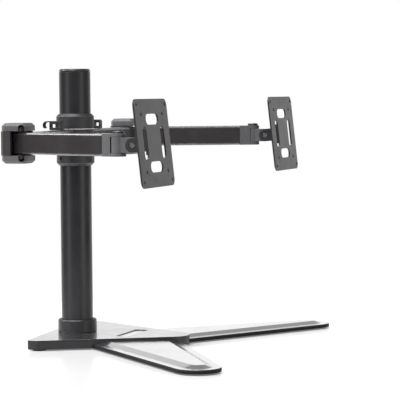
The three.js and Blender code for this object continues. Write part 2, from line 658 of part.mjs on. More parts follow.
// the tilting pieces are drawn around the tilt axis
function tiltBracket() {
  const inner = TONGUE / 2 + GAP;
  const outer = inner + CHEEK;
  const high = SWIVEL_HALF - GAP - 1;
  const cheek = (y0, y1) => join(
    alongY(rod(high, y0, y1)), block(0, BRACKET_REACH + 1, y0, y1, -high, high));
  const wall = block(BRACKET_REACH, BRACKET_REACH + BRACKET_WALL,
    -BRACKET_HEIGHT / 2, BRACKET_HEIGHT / 2, -BRACKET_HEIGHT / 2, BRACKET_HEIGHT / 2);
  return cut(
    join(wall, cheek(inner, outer), cheek(-outer, -inner)),
    alongY(rod(PIVOT_RADIUS + SLIP, -outer - 1, outer + 1)),
    alongX(rod(STUB_RADIUS + SLIP, BRACKET_REACH - 1, BRACKET_REACH + BRACKET_WALL + 1)));
}

function tiltBolt() {
  const outer = TONGUE / 2 + GAP + CHEEK;
  const head = rod(TILT_HEAD_RADIUS, outer + GAP, outer + GAP + TILT_HEAD_HEIGHT);
  return alongY(join(head, rod(PIVOT_RADIUS, -outer, outer + 1)));
}

function displayPlate() {
  const back = PLATE_BACK - TILT_REACH;
  const front = back + PLATE_THICKNESS;
  const outline = roundedRectangle(PLATE_SIZE, PLATE_SIZE, PLATE_CORNER);
  const sheet = extruded(outline, back, front, 6);
  const hole = (x, y) => rod(PATTERN_HOLE, back - 1, front + 1, 12).translate(x, y, 0);
  const holes = PATTERNS.map((pitch) => pitch / 2).flatMap((half) =>
    [hole(half, half), hole(-half, half), hole(half, -half), hole(-half, -half)]);
  const windows = [0, 1, 2, 3].map((turn) => {
    const [far, radius] = [(WINDOW_LENGTH - WINDOW_WIDTH) / 2, WINDOW_WIDTH / 2];
    const window = aroundCircles([[-far, WINDOW_PLACE, radius], [far, WINDOW_PLACE, radius]]);
    return extruded(window, back - 1, front + 1, 5).rotateZ(turn * Math.PI / 2);
  });
  const hub = rod(PLATE_HUB_RADIUS, back - PLATE_HUB_HEIGHT, back + 0.5, 32);
  const stub = rod(STUB_RADIUS, BRACKET_REACH - GAP - NUT_HEIGHT, back + 0.5);
  return alongX(join(cut(sheet, ...holes, ...windows), hub, stub));
}

function plateNut() {
  const high = BRACKET_REACH - GAP;
  const nut = rod(NUT_RADIUS, high - NUT_HEIGHT, high, 6);
  return alongX(cut(nut, rod(STUB_RADIUS + SLIP, 0, high + 1)));
}

function buildArm(carriage, side) {
  const left = side === 'left';
  const sign = left ? 1 : -1;
  const sided = (geometry) => left ? geometry : mirrored(geometry, 1);
  const name = (part) => `${side}_${part}`;

  const link1 = frame(carriage, 0, 0, 0);
  link1.rotation.z = radians(left ? 180 + REST_ROOT : -REST_ROOT);
  const root = left ? rootRing() : mirrored(rootRing(), 2);
  piece(link1, name('root_ring'), root, blackPlastic);
  piece(link1, name('inner_tube'), tube(TUBE_1_START, TUBE_1_END), armSteel);
  piece(link1, name('cable_clip'), sided(cableClip()), blackPlastic);
  const elbow = frame(link1, LINK_1, 0, 0);
  piece(elbow, name('elbow_yoke'), sided(elbowYoke()), darkPlastic);
  piece(elbow, name('elbow_cap_top'), sided(elbowCap()), darkPlastic);
  piece(elbow, name('elbow_cap_bottom'), mirrored(sided(elbowCap()), 2), darkPlastic);
  piece(elbow, name('elbow_bolt'), elbowBolt(), fastener);
  piece(elbow, name('elbow_nut'), elbowNut(), fastener);

  const link2 = frame(elbow, 0, 0, 0);
  link2.rotation.z = radians(sign * REST_ELBOW);
  piece(link2, name('outer_tube'), outerTube(), armSteel);
  piece(link2, name('outer_tube_plug'), tubePlug(), blackPlastic);
  piece(link2, name('head_fork'), headFork(), darkPlastic);
  const pin = piece(link2, name('swivel_pin'), swivelPin(), fastener);
  pin.position.x = LINK_2;

  const head = frame(link2, LINK_2, 0, 0);
  head.rotation.z = radians(sign * (90 - REST_ROOT - REST_ELBOW));
  piece(head, name('swivel_block'), swivelBlock(), darkPlastic);
  const tilt = frame(head, TILT_REACH, 0, 0);
  tilt.rotation.y = radians(-REST_TILT);
  piece(tilt, name('tilt_bracket'), tiltBracket(), blackSteel);
  piece(tilt, name('tilt_bolt'), tiltBolt(), fastener);
  piece(tilt, name('plate_nut'), plateNut(), fastener);
  piece(tilt, name('display_plate'), displayPlate(), blackSteel);
}

const monitorArm = new THREE.Group();
monitorArm.position.y = (TIP_FORWARD + TIP_RADIUS - HUB_REAR) / 2;
buildBase(monitorArm);
const carriage = buildCarriage(monitorArm);
buildArm(carriage, 'left');
buildArm(carriage, 'right');

export default monitorArm;
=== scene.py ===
"""Finishes the desk stand with two folding arms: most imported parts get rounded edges, the pole,
its base collar, the screws, pins and feet are turned anew, and each surface gets its finish."""

import json
import math

import bmesh
import bpy
from bpy.props import FloatProperty, FloatVectorProperty, PointerProperty
from mathutils import Matrix, Vector


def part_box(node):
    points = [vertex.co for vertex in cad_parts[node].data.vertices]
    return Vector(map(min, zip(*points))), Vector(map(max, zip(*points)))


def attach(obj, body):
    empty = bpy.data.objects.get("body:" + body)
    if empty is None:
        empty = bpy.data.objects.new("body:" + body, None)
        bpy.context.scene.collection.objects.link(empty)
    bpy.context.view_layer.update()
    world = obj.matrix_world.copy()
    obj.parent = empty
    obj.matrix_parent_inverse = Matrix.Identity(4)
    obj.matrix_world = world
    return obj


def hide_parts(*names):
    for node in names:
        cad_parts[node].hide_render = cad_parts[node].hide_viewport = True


bl_info = {
    "name": "Two-arm desk stand",
    "version": (1, 0, 0),
    "blender": (4, 5, 0),
    "location": "View3D > Sidebar > Desk stand",
    "description": "Builds the visible pieces of a desk stand with two folding arms",
    "category": "Object",
}

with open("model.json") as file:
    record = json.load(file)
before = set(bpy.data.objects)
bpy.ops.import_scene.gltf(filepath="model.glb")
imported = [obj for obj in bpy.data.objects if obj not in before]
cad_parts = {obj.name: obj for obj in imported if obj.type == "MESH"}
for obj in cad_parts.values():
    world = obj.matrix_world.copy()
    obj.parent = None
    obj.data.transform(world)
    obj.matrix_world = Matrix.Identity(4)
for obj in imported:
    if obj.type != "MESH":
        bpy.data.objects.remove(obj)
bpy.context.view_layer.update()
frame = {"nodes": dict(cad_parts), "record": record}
MM = 0.001
SIDES = ("left", "right")
X, Z = Vector((1, 0, 0)), Vector((0, 0, 1))
WHITE = (1, 1, 1, 1)
NODES = frame["nodes"]
RECORD = frame["record"]
BODY_OF = {node: body for body, nodes in RECORD["behaviour"]["bodies"].items() for node in nodes}

POLE_WALL = 2.5 * MM
PLAY = 0.3 * MM  # gap between the base collar's bore and the pole
BORE_REACH = 0.7 * MM  # a clamp collar's bore edges lie within this of the pole's skin
WASHER_EDGE = 0.2 * MM
SCREW_ROUND, POLE_ROUND = 48, 128  # sides of a turned screw and of the turned pole and collar
SCREW_EDGE, SCREW_KEY = 0.06, 0.5  # a screw's rounding and its socket, as shares of its radius
SOCKET_IN_HEAD, SOCKET_IN_SHANK = 0.6, 0.5  # socket's depth as a share of the head or set screw
FOOT_GROOVES = (2, 4, 6)  # where the grooves under a foot start, in tenths of its radius
HEADS = {  # height of the head and radius of the shank
    "leg_bolt": (2.2 * MM, 3 * MM),
    "pole_bolt": (5 * MM, 5 * MM),
    "elbow_bolt": (2.6 * MM, 4 * MM),
    "swivel_pin": (3 * MM, 4 * MM),
    "tilt_bolt": (4 * MM, 4 * MM),
}

WELD = 0.01 * MM  # vertices closer than this are one
FLAT = math.radians(0.6)  # faces closer in slope than this are one face
CREASE = math.radians(35)  # steeper edges are rounded
FOLD = math.radians(16)  # steeper edges of a pressed cover are folds
LONG = 60 * MM  # a tube's edges longer than this run its whole length
OUTER = 0.5 * MM  # a tube's long edges this near to the farthest one are its outer corners
LEVEL = 0.99  # a face whose normal's Z is over this is level
SUNK = 0.5 * MM  # a level face this far below a cover's top is the floor of a tray
STEEP = 0.5  # a face whose normal's Z is under this is a cover's cut edge

FILM = (0.52, 0.50, 0.47, 1)  # colour of dust
LINES = (12.0, 900.0, 900.0)  # drawn lines per metre, along and across
COARSE = 0.23  # scale of the coarse grain as a share of the fine grain's
FINE_SHARE = 0.65  # of the fine grain in the height
BROAD_SHARE = 0.6  # of the broad marks in the cloudy gloss
FLOOR_GLOSS = 0.20  # roughness of the floor
SUNS = (  # name of the light and of its strength, spread in degrees, direction it shines in
    ("top_light", 46, (0.30, -0.12, -1)),
    ("front_light", 60, (1.0, -0.1, -0.75)),
    ("rim_light", 24, (0.1, -0.78, -0.62)),
)
WALL = (  # height from eye level to overhead, brightness
    (0.0, 1.0), (0.20, 0.98), (0.37, 0.60), (0.59, 0.26), (0.75, 0.20), (1.0, 0.35))


# ---- sizes and colours a user would change --------------------------------------------------
def length(name, description, default, high=1.0):
    return FloatProperty(
        name=name, description=description, default=default, min=0, max=high,
        precision=4, unit="LENGTH")


def tint(name, description, default):
    return FloatVectorProperty(
        name=name, description=description, default=default, size=3, min=0, max=1,
        subtype="COLOR")


def share(name, description, default):
    return FloatProperty(
        name=name, description=description, default=default, min=0, max=1, subtype="FACTOR")


class StandEdges(bpy.types.PropertyGroup):
    """How far the edges of each kind of part are rounded."""
    plate: length("Plate", "Rounding of cut steel plate", 0.6 * MM)
    cover: length("Cover", "Rounding along the rim of the bright covers", 0.35 * MM)
    fold: length("Fold", "Rounding of the folds pressed into a leg cover", 2.2 * MM)
    tube: length("Tube", "Outer corner radius of the drawn tubes", 3.4 * MM)
    casting: length("Casting", "Rounding of cast and moulded parts", 1.1 * MM)
    small: length("Small part", "Rounding of clips, brackets and screws", 0.4 * MM)


class StandFinish(bpy.types.PropertyGroup):
    """Colours and wear of the finishes."""
    black: tint("Black paint", "Pole, plates and bars", (0.014, 0.0135, 0.016))
    charcoal: tint("Charcoal paint", "Tubes and elbow walls", (0.030, 0.0255, 0.0285))
    cast_black: tint("Cast black", "Collars and rings", (0.024, 0.0235, 0.026))
    grey: tint("Grey plastic", "Elbow caps", (0.105, 0.103, 0.110))
    bright: tint("Bright metal", "Cover of the hub", (0.74, 0.735, 0.75))
    polished: tint("Polished metal", "Covers of the legs and the hub's tray", (0.94, 0.935, 0.95))
    plastic: tint("Black plastic", "Clips, plugs and the pole's cap", (0.013, 0.013, 0.015))
    steel: tint("Blackened steel", "Screws, pins and nuts", (0.13, 0.13, 0.135))
    nylon: tint("Nylon", "Washers between the arms", (0.78, 0.76, 0.70))
    rubber: tint("Rubber", "Feet", (0.022, 0.022, 0.022))
    wear: share("Wear", "How much paint is polished off along edges", 0.25)
    dust: share("Dust", "How much dust lies on faces that look up", 0.05)


class StandStage(bpy.types.PropertyGroup):
    """Floor, light and camera."""
    floor: length("Floor", "Radius of the round floor", 0.62, high=20.0)
    floor_tint: tint("Floor colour", "Colour of the round floor", (0.72, 0.72, 0.72))
    distance: length("Distance", "Camera to the pole along the line of sight", 2.840, high=10.0)
    aside: length("Aside", "The pole's axis left of the line of sight", 0.1828)
    height: length("Height", "Camera above the foot's top", 0.3514)
    focal: FloatProperty(
        name="Focal length", description="Of the camera, in millimetres", default=173.5, min=1)
    yaw: FloatProperty(
        name="Yaw", description="Line of sight clockwise from +Y", subtype="ANGLE",
        default=math.radians(70.05))
    pitch: FloatProperty(
        name="Pitch", description="Line of sight below level", subtype="ANGLE",
        default=math.radians(3.2))
    roll: FloatProperty(
        name="Roll", description="Right end of the horizon raised", subtype="ANGLE",
        default=math.radians(0.468))
    top_light: FloatProperty(
        name="Top light", description="Strength of the light overhead", default=3.4)
    front_light: FloatProperty(
        name="Front light", description="Strength of the light beside the camera", default=0.35)
    rim_light: FloatProperty(
        name="Rim light", description="Strength of the small light high at the back", default=1.9)
    boxes: FloatProperty(
        name="Soft boxes", description="Brightness of the upright soft boxes", default=1.5)
    floor_glow: FloatProperty(
        name="Floor glow", description="Light that shines up through the floor", default=0.15)


# ---- mesh tools -------------------------------------------------------------------------------
def sharp_edges(bm, low, high=math.pi):
    return [e for e in bm.edges if e.is_manifold and low < e.calc_face_angle(0) <= high]


def soften(bm, edges, width, segments):
    """Rounds the edges and marks the new faces as worn."""
    edge_mark = bm.loops.layers.float.get("edge") or bm.loops.layers.float.new("edge")
    if not edges:
        return
    made = bmesh.ops.bevel(
        bm, geom=edges, offset=width, offset_type="OFFSET", segments=segments, profile=0.5,
        affect="EDGES", clamp_overlap=True)
    for face in made["faces"]:
        for loop in face.loops:
            loop[edge_mark] = 1.0


def finished(bm, name, node, *materials):
    """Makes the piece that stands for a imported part, on its body and in its slot."""
    mesh = bpy.data.meshes.new(name)
    for face in bm.faces:
        face.smooth = True
    for edge in bm.edges:
        edge.smooth = not edge.is_manifold or edge.calc_face_angle(0) < CREASE
    # faces with more than four corners are split here
    bmesh.ops.triangulate(bm, faces=[face for face in bm.faces if len(face.verts) > 4])
    bm.to_mesh(mesh)
    bm.free()
    for material in materials:
        mesh.materials.append(material)
    piece = bpy.data.objects.new(name, mesh)
    bpy.context.scene.collection.objects.link(piece)
    normals = piece.modifiers.new("weighted normals", "WEIGHTED_NORMAL")
    normals.keep_sharp = True
    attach(piece, BODY_OF[node])
    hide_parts(node)
    return piece


def packed_solid(node):
    """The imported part's mesh, welded, with its flat faces whole."""
    bm = bmesh.new()
    bm.from_mesh(NODES[node].data)
    bmesh.ops.remove_doubles(bm, verts=bm.verts, dist=WELD)
    bmesh.ops.dissolve_limit(bm, angle_limit=FLAT, verts=bm.verts, edges=bm.edges)
    return bm


def dressed(node, material, width, segments=3, past=0.0):
    """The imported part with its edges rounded, but for those nearer to the pole's axis than past."""
    bm = packed_solid(node)
    rounded = [e for e in sharp_edges(bm, CREASE) if (e.verts[0].co - POLE_AXIS).xy.length >= past]
    soften(bm, rounded, width, segments)
    return finished(bm, f"{node}_piece", node, material)


def dressed_tube(node, material, radius, width):
    """A drawn tube: its four long outer corners are rounded more than its ends and bore."""
    bm = packed_solid(node)
    centre = middle(node)
    long_edges = [e for e in sharp_edges(bm, CREASE) if e.calc_length() > LONG]
    along_tube = (long_edges[0].verts[1].co - long_edges[0].verts[0].co).normalized()

    def off_axis(edge):
        offset = edge.verts[0].co - centre
        return (offset - along_tube * offset.dot(along_tube)).length

    outermost = max(off_axis(edge) for edge in long_edges)
    soften(bm, [e for e in long_edges if off_axis(e) > outermost - OUTER], radius, 6)
    soften(bm, sharp_edges(bm, CREASE), width, 2)
    return finished(bm, f"{node}_piece", node, material)


def dressed_cover(node, face_material, edge_material, tray_material, width, fold=0.0):
    """A bright cover: soft folds, a fine rounded rim, a dark cut edge and a finer tray."""
    bm = packed_solid(node)
    if fold:
        soften(bm, sharp_edges(bm, FOLD, CREASE), fold, 5)
    soften(bm, sharp_edges(bm, CREASE), width, 3)
    bm.normal_update()
    top = max(v.co.z for v in bm.verts)
    for face in bm.faces:
        sunk = face.normal.z > LEVEL and face.calc_center_median().z < top - SUNK
        face.material_index = 1 if abs(face.normal.z) < STEEP else 2 * int(sunk)
    return finished(bm, f"{node}_piece", node, face_material, edge_material, tray_material)


def hexagon_reach(angle):
    """How far a hexagon reaches at an angle, as a share of its corners' radius."""
    sixth = math.pi / 3
    off_middle = (angle + sixth / 2) % sixth - sixth / 2
    return math.cos(sixth / 2) / math.cos(off_middle)


def turned(profile, place, sides=72):
    """A body turned round Z from (radius, height, hexagonal) corners, then placed by a matrix.
    A profile that starts off the axis closes on itself."""
    bm = bmesh.new()
    rows = []
    for radius, height, hexagonal in profile:
        if radius == 0:
            rows.append([bm.verts.new((0, 0, height))] * sides)
            continue
        row = []
        for i in range(sides):
            angle = 2 * math.pi * i / sides
            reach = radius * (hexagon_reach(angle) if hexagonal else 1)
            row.append(bm.verts.new((reach * math.cos(angle), reach * math.sin(angle), height)))
        rows.append(row)
    if profile[0][0] > 0:
        rows.append(rows[0])
    for low, high in zip(rows, rows[1:]):
        for i in range(sides):
            corners = [low[i], low[(i + 1) % sides], high[(i + 1) % sides], high[i]]
            corners = [v for k, v in enumerate(corners) if v not in corners[:k]]
            if len(corners) > 2:
                bm.faces.new(corners)
    bmesh.ops.recalc_face_normals(bm, faces=bm.faces)
    bm.transform(place)
    return bm


def along(node, origin, axis):
    """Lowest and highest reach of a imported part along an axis, and its greatest radius round it."""
    offsets = [v.co - origin for v in NODES[node].data.vertices]
    reaches = [offset.dot(axis) for offset in offsets]
    radius = max((offset - axis * reach).length for offset, reach in zip(offsets, reaches))
    return min(reaches), max(reaches), radius


def on_axis(origin, axis):
    return Matrix.Translation(origin) @ axis.to_track_quat("Z", "Y").to_matrix().to_4x4()


def middle(node):
    low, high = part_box(node)
    return (low + high) / 2


POLE = middle("pole_tube")
POLE_AXIS = Vector((POLE.x, POLE.y, 0))


def socket_screw(node, origin, axis, head, shank, material):
    """A screw with a hexagon socket; the axis points from its shank to its head. A set screw has
    a head of 0."""
    low, high, radius = along(node, origin, axis)
    edge, key = SCREW_EDGE * radius, SCREW_KEY * radius
    depth = SOCKET_IN_HEAD * head if head else SOCKET_IN_SHANK * (high - low)
    profile = [(0, low, False), (shank - edge, low, False), (shank, low + edge, False)]
    if head:
        profile += [(shank, high - head, False), (radius, high - head, False)]
    profile += [
        (radius, high - 2 * edge, False), (radius - 2 * edge, high, False),
        (key, high, True), (key, high - depth, True), (0, high - depth - key / 3, False)]
    bm = turned(profile, on_axis(origin, axis), SCREW_ROUND)
    soften(bm, sharp_edges(bm, CREASE), edge, 2)
    return finished(bm, f"{node}_piece", node, material)


# ---- shader tools -----------------------------------------------------------------------------
class Net:
    """Adds nodes to a tree and joins them."""

    def __init__(self, tree):
        self.tree = tree

    def add(self, kind, inputs=(), **settings):
        made = self.tree.nodes.new(kind)
        for key, value in settings.items():
            setattr(made, key, value)
        for key, value in dict(inputs).items():
            if isinstance(value, bpy.types.NodeSocket):
                self.tree.links.new(value, made.inputs[key])
            else:
                made.inputs[key].default_value = value
        return made

    def math(self, operation, first, second=0.0, clamp=False):
        inputs = {0: first, 1: second}
        return self.add("ShaderNodeMath", inputs, operation=operation, use_clamp=clamp).outputs[0]

    def noise(self, position, scale, detail=3.0, roughness=0.5):
        inputs = {"Vector": position, "Scale": scale, "Detail": detail, "Roughness": roughness}
        return self.add("ShaderNodeTexNoise", inputs).outputs[0]

    def spread(self, value, low, high, to_low=0.0, to_high=1.0):
        inputs = {"Value": value, 1: low, 2: high, 3: to_low, 4: to_high}
        return self.add("ShaderNodeMapRange", inputs).outputs[0]

    def blend(self, share_of_second, first, second):
        made = self.add("ShaderNodeMix", data_type="RGBA")
        for key, value in ((0, share_of_second), (6, first), (7, second)):
            if isinstance(value, bpy.types.NodeSocket):
                self.tree.links.new(value, made.inputs[key])
            else:
                made.inputs[key].default_value = value
        return made.outputs[2]


def node_group(name, inputs, outputs):
    """A new shader group: inputs are (name, kind, default), outputs are (name, kind)."""
    tree = bpy.data.node_groups.new(name, "ShaderNodeTree")
    for label, kind, default in inputs:
        socket = tree.interface.new_socket(label, in_out="INPUT", socket_type=kind)
        socket.default_value = default
    for label, kind in outputs:
        tree.interface.new_socket(label, in_out="OUTPUT", socket_type=kind)
    net = Net(tree)
    return tree, net, net.add("NodeGroupInput").outputs, net.add("NodeGroupOutput")


FLOAT, COLOUR, VECTOR = "NodeSocketFloat", "NodeSocketColor", "NodeSocketVector"


def grain_group():
    """Fine orange peel and specks of a paint or a moulded skin."""
    tree, net, given, out = node_group(
        "Surface grain",
        [("Position", VECTOR, (0, 0, 0)), ("Scale", FLOAT, 900.0)],
        [("Height", FLOAT), ("Speck", FLOAT)])
    fine = net.noise(given["Position"], given["Scale"], 2.0)
    coarse = net.noise(given["Position"], net.math("MULTIPLY", given["Scale"], COARSE), 1.0)
    height = net.math(
        "ADD", net.math("MULTIPLY", fine, FINE_SHARE),
        net.math("MULTIPLY", coarse, 1 - FINE_SHARE))
    tree.links.new(height, out.inputs["Height"])
    tree.links.new(net.spread(fine, 0.52, 0.74), out.inputs["Speck"])
    return tree


def handling_group():
    """Broad cloudy marks that hands and cleaning leave in a gloss."""
    tree, net, given, out = node_group(
        "Handling marks",
        [("Position", VECTOR, (0, 0, 0)), ("Roughness", FLOAT, 0.4), ("Variation", FLOAT, 0.1)],
        [("Roughness", FLOAT), ("Cloud", FLOAT)])
    broad = net.noise(given["Position"], 14.0, 4.0, 0.6)
    rubbed = net.noise(given["Position"], 70.0, 3.0, 0.65)
    cloud = net.math(
        "ADD", net.math("MULTIPLY", broad, BROAD_SHARE),
        net.math("MULTIPLY", rubbed, 1 - BROAD_SHARE))
    centred = net.spread(cloud, 0.35, 0.65, -1.0, 1.0)
    swing = net.math("MULTIPLY", centred, given["Variation"])
    tree.links.new(net.math("ADD", given["Roughness"], swing, True), out.inputs["Roughness"])
    tree.links.new(cloud, out.inputs["Cloud"])
    return tree


def wear_group():
    """Rounded edges rubbed towards a worn colour, in patches."""
    tree, net, given, out = node_group(
        "Worn edges",
        [("Position", VECTOR, (0, 0, 0)), ("Color", COLOUR, (0, 0, 0, 1)),
         ("Worn Color", COLOUR, (0.3, 0.3, 0.3, 1)), ("Amount", FLOAT, 0.25)],
        [("Color", COLOUR), ("Mask", FLOAT)])
    edge = net.add("ShaderNodeAttribute", attribute_name="edge").outputs["Fac"]
    patch = net.spread(net.noise(given["Position"], 160.0, 4.0, 0.7), 0.40, 0.62)
    mask = net.math("MULTIPLY", net.math("MULTIPLY", edge, patch), given["Amount"], True)
    tree.links.new(net.blend(mask, given["Color"], given["Worn Color"]), out.inputs["Color"])
    tree.links.new(mask, out.inputs["Mask"])
    return tree


def dust_group():
    """A thin film of dust on faces that look up."""
    tree, net, given, out = node_group(
        "Settled dust",
        [("Position", VECTOR, (0, 0, 0)), ("Color", COLOUR, (0, 0, 0, 1)), ("Amount", FLOAT, 0.05)],
        [("Color", COLOUR), ("Film", FLOAT)])
    normal = net.add("ShaderNodeNewGeometry").outputs["Normal"]
    up = net.add("ShaderNodeSeparateXYZ", {0: normal}).outputs["Z"]
    level = net.spread(up, 0.75, 0.98)
    patch = net.spread(net.noise(given["Position"], 45.0, 5.0, 0.7), 0.35, 0.7, 0.3, 1.0)
    film = net.math("MULTIPLY", net.math("MULTIPLY", level, patch), given["Amount"], True)
    tree.links.new(net.blend(film, given["Color"], FILM), out.inputs["Color"])
    tree.links.new(film, out.inputs["Film"])
    return tree


def drawn_group():
    """Fine parallel lines left by rolling and polishing, along X."""
    tree, net, given, out = node_group(
        "Drawn lines",
        [("Position", VECTOR, (0, 0, 0)), ("Scale", FLOAT, 1.0)],
        [("Height", FLOAT), ("Line", FLOAT)])
    inputs = {0: given["Position"], 1: LINES}
    stretched = net.add("ShaderNodeVectorMath", inputs, operation="MULTIPLY").outputs[0]
    lines = net.noise(stretched, given["Scale"], 3.0, 0.6)
    tree.links.new(lines, out.inputs["Height"])
    tree.links.new(net.spread(lines, 0.3, 0.7), out.inputs["Line"])
    return tree


GROUPS = {}


def build_groups():
    makers = (("grain", grain_group), ("handling", handling_group), ("wear", wear_group),
              ("dust", dust_group), ("drawn", drawn_group))
    for label, make in makers:
        GROUPS[label] = make()


def placed(net, label, **inputs):
    made = net.add("ShaderNodeGroup", node_tree=GROUPS[label])
    for key, value in inputs.items():
        socket = made.inputs[key.replace("_", " ")]
        if isinstance(value, bpy.types.NodeSocket):
            net.tree.links.new(value, socket)
        else:
            socket.default_value = value
    return made.outputs


def with_alpha(colour, factor=1.0):
    return tuple(min(1.0, c * factor) for c in colour) + (1.0,)


def new_material(name):
    """A material with its Principled shader, its net and the position in the part's own frame."""
    material = bpy.data.materials.new(name)
    material.use_nodes = True
    net = Net(material.node_tree)
    shader = material.node_tree.nodes["Principled BSDF"]
    position = net.add("ShaderNodeTexCoord").outputs["Object"]
    return material, net, shader, position


def coated(
        name, colour, roughness, variation, scale, depth, worn,
        metallic=0.0, specular=0.5, coat=0.0):
    """Paint, plastic or blackened steel: grain, cloudy gloss, worn edges and a little dust.
    The variation is the gloss's swing either way, and scale and depth are the grain's."""
    finish = bpy.context.scene.stand_finish
    material, net, shader, position = new_material(name)
    grain = placed(net, "grain", Position=position, Scale=scale)
    marks = placed(net, "handling", Position=position, Roughness=roughness, Variation=variation)
    shade = net.spread(marks["Cloud"], 0.3, 0.7, 0.0, 1.0)
    body = net.blend(shade, with_alpha(colour, 0.86), with_alpha(colour, 1.14))
    specked = net.blend(net.math("MULTIPLY", grain["Speck"], 0.25), body, with_alpha(colour, 1.7))
    edges = placed(net, "wear", Position=position, Color=specked,
                   Worn_Color=with_alpha(worn), Amount=finish.wear)
    dusty = placed(net, "dust", Position=position, Color=edges["Color"], Amount=finish.dust)
    gloss = net.math("SUBTRACT", marks["Roughness"], net.math("MULTIPLY", edges["Mask"], 0.25))
    gloss = net.math("ADD", gloss, net.math("MULTIPLY", dusty["Film"], 1.5), True)
    relief = {"Height": grain["Height"], "Distance": depth, "Strength": 1.0}
    bump = net.add("ShaderNodeBump", relief)
    net.tree.links.new(dusty["Color"], shader.inputs["Base Color"])
    net.tree.links.new(gloss, shader.inputs["Roughness"])
    net.tree.links.new(bump.outputs[0], shader.inputs["Normal"])
    shader.inputs["Metallic"].default_value = metallic
    shader.inputs["Specular IOR Level"].default_value = specular
    shader.inputs["Coat Weight"].default_value = coat
    shader.inputs["Coat Roughness"].default_value = 0.1
    return material


def bright_metal(name, colour, roughness):
    """Polished satin metal with drawn lines and faint smudges."""
    finish = bpy.context.scene.stand_finish
    material, net, shader, position = new_material(name)
    lines = placed(net, "drawn", Position=position, Scale=1.0)
    marks = placed(net, "handling", Position=position, Roughness=roughness, Variation=0.05)
    body = net.blend(marks["Cloud"], with_alpha(colour, 0.95), with_alpha(colour, 1.03))
    streaked = net.blend(net.math("MULTIPLY", lines["Line"], 0.35), body, with_alpha(colour, 0.90))
    dusty = placed(net, "dust", Position=position, Color=streaked, Amount=0.4 * finish.dust)
    gloss = net.math("ADD", marks["Roughness"], net.math("MULTIPLY", lines["Line"], 0.05), True)
    relief = {"Height": lines["Height"], "Distance": 0.004 * MM, "Strength": 0.5}
    bump = net.add("ShaderNodeBump", relief)
    net.tree.links.new(dusty["Color"], shader.inputs["Base Color"])
    net.tree.links.new(gloss, shader.inputs["Roughness"])
    net.tree.links.new(bump.outputs[0], shader.inputs["Normal"])
    shader.inputs["Metallic"].default_value = 1.0
    return material


MATERIALS = {}


def build_materials():
    finish = bpy.context.scene.stand_finish
    bare, rubbed_steel = (0.30, 0.29, 0.28), (0.5, 0.49, 0.47)
    rubbed_grey, rubbed_plastic, rubbed_rubber = (0.26, 0.26, 0.27), (0.09,) * 3, (0.05,) * 3
    MATERIALS.update(
        black=coated("satin_black_paint", finish.black, 0.33, 0.06, 2200, 0.02 * MM, bare),
        matt=coated(
            "matt_black_paint", finish.black, 0.55, 0.06, 1800, 0.03 * MM, bare, specular=0.08),
        charcoal=coated(
            "charcoal_paint", finish.charcoal, 0.36, 0.06, 2400, 0.02 * MM, bare, coat=0.8),
        satin=coated("satin_charcoal_paint", finish.charcoal, 0.45, 0.06, 2400, 0.02 * MM, bare),
        cast=coated("black_cast_paint", finish.cast_black, 0.45, 0.07, 1500, 0.03 * MM, bare),
        grey=coated("grey_moulding", finish.grey, 0.50, 0.06, 1800, 0.03 * MM, rubbed_grey),
        plastic=coated(
            "black_moulding", finish.plastic, 0.33, 0.06, 2000, 0.03 * MM, rubbed_plastic),
        steel=coated(
            "blackened_steel", finish.steel, 0.32, 0.08, 3000, 0.01 * MM, rubbed_steel, 0.9),
        nylon=coated("natural_nylon", finish.nylon, 0.45, 0.05, 1200, 0.02 * MM, finish.nylon),
        rubber=coated(
            "matt_rubber", finish.rubber, 0.80, 0.06, 1600, 0.05 * MM, rubbed_rubber),
        bright=bright_metal("bright_cover_metal", finish.bright, 0.19),
        polished=bright_metal("polished_cover_metal", finish.polished, 0.16))


# ---- operators ----------------------------------------------------------------------------------
class StandOperator:
    bl_options = {"REGISTER", "UNDO"}

    def execute(self, context):
        self.make(context.scene.stand_edges, context.scene)
        return {"FINISHED"}


class STAND_OT_materials(StandOperator, bpy.types.Operator):
    """Make the shader groups and the finishes"""
    bl_idname = "stand.make_materials"
    bl_label = "Materials"

    def make(self, edges, scene):
        build_groups()
        build_materials()


